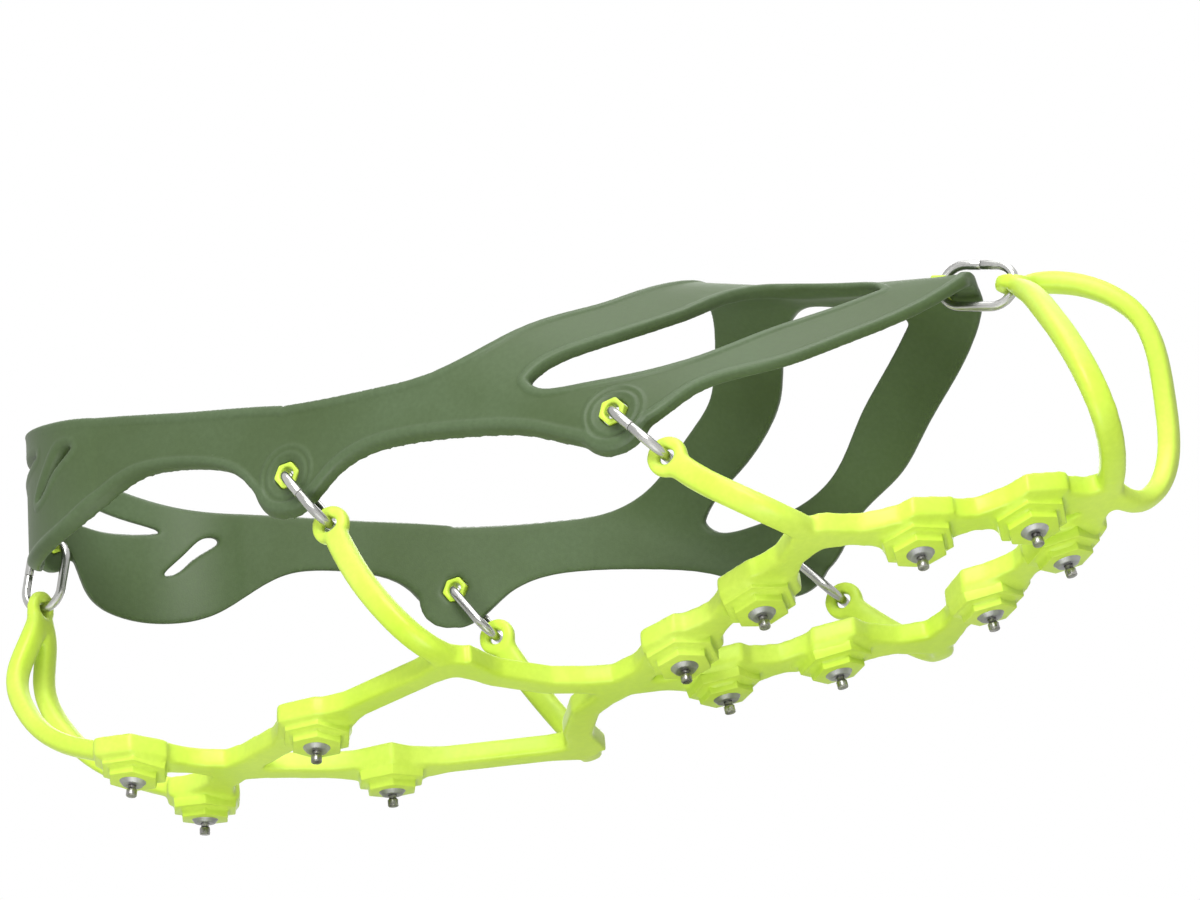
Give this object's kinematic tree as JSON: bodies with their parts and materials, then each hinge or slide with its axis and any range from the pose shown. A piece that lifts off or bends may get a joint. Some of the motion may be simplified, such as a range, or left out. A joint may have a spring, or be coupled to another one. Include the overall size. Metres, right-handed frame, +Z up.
{
  "type": "shoe ice cleat",
  "caption": "Pull-on ice cleat: an elastic boot harness joined by steel links to a moulded sole net with steel studs in stepped hexagonal bosses.",
  "frame": {"origin": "on the ground below the middle of the cleat, at the tips of the lowest studs", "axes": "+X to the toe, +Y to the wearer's left, +Z up"},
  "size_m": [0.2958, 0.1134, 0.108],
  "materials": {
    "harness_elastomer": "satin moulded elastomer",
    "net_elastomer": "satin moulded elastomer",
    "grommet_plastic": "matt moulded liner",
    "link_steel": "bright plated wire",
    "stud_steel": "turned steel",
    "pin_steel": "ground carbide pin"
  },
  "bodies": {
    "cleat": {"harness": "harness_elastomer", "sole_net": "net_elastomer", "grommet_heel": "grommet_plastic", "grommet_toe": "grommet_plastic", "grommet_rear_left": "grommet_plastic", "grommet_rear_right": "grommet_plastic", "grommet_front_left": "grommet_plastic", "grommet_front_right": "grommet_plastic", "stud_anchor_left_1": "stud_steel", "stud_collar_left_1": "stud_steel", "stud_pin_left_1": "pin_steel", "stud_anchor_left_2": "stud_steel", "stud_collar_left_2": "stud_steel", "stud_pin_left_2": "pin_steel", "stud_anchor_left_3": "stud_steel", "stud_collar_left_3": "stud_steel", "stud_pin_left_3": "pin_steel", "stud_anchor_left_4": "stud_steel", "stud_collar_left_4": "stud_steel", "stud_pin_left_4": "pin_steel", "stud_anchor_left_5": "stud_steel", "stud_collar_left_5": "stud_steel", "stud_pin_left_5": "pin_steel", "stud_anchor_left_6": "stud_steel", "stud_collar_left_6": "stud_steel", "stud_pin_left_6": "pin_steel", "stud_anchor_right_1": "stud_steel", "stud_collar_right_1": "stud_steel", "stud_pin_right_1": "pin_steel", "stud_anchor_right_2": "stud_steel", "stud_collar_right_2": "stud_steel", "stud_pin_right_2": "pin_steel", "stud_anchor_right_3": "stud_steel", "stud_collar_right_3": "stud_steel", "stud_pin_right_3": "pin_steel", "stud_anchor_right_4": "stud_steel", "stud_collar_right_4": "stud_steel", "stud_pin_right_4": "pin_steel", "stud_anchor_right_5": "stud_steel", "stud_collar_right_5": "stud_steel", "stud_pin_right_5": "pin_steel", "stud_anchor_right_6": "stud_steel", "stud_collar_right_6": "stud_steel", "stud_pin_right_6": "pin_steel"},
    "heel_link": {"link_heel": "link_steel"},
    "toe_link": {"link_toe": "link_steel"},
    "rear_left_link": {"link_rear_left": "link_steel"},
    "rear_right_link": {"link_rear_right": "link_steel"},
    "front_left_link": {"link_front_left": "link_steel"},
    "front_right_link": {"link_front_right": "link_steel"}
  },
  "joints": [
    {"name": "heel_link_roll", "type": "hinge", "parent": "cleat", "child": "heel_link", "pos_m": [-0.13859, 0, 0.084], "axis": [-0.2079, 0, -0.9781], "range_deg": [-12, 12]},
    {"name": "toe_link_roll", "type": "hinge", "parent": "cleat", "child": "toe_link", "pos_m": [0.10117, 0, 0.08555], "axis": [0.9613, 0, -0.2756], "range_deg": [-12, 12]},
    {"name": "rear_left_link_roll", "type": "hinge", "parent": "cleat", "child": "rear_left_link", "pos_m": [-0.04778, 0.04202, 0.0618], "axis": [0.5592, 0, -0.829], "range_deg": [-12, 12]},
    {"name": "rear_right_link_roll", "type": "hinge", "parent": "cleat", "child": "rear_right_link", "pos_m": [-0.04778, -0.04202, 0.0618], "axis": [0.5592, 0, -0.829], "range_deg": [-12, 12]},
    {"name": "front_left_link_roll", "type": "hinge", "parent": "cleat", "child": "front_left_link", "pos_m": [0.03877, 0.0505, 0.051], "axis": [0.6428, 0, -0.766], "range_deg": [-12, 12]},
    {"name": "front_right_link_roll", "type": "hinge", "parent": "cleat", "child": "front_right_link", "pos_m": [0.03877, -0.0505, 0.051], "axis": [0.6428, 0, -0.766], "range_deg": [-12, 12]}
  ]
}
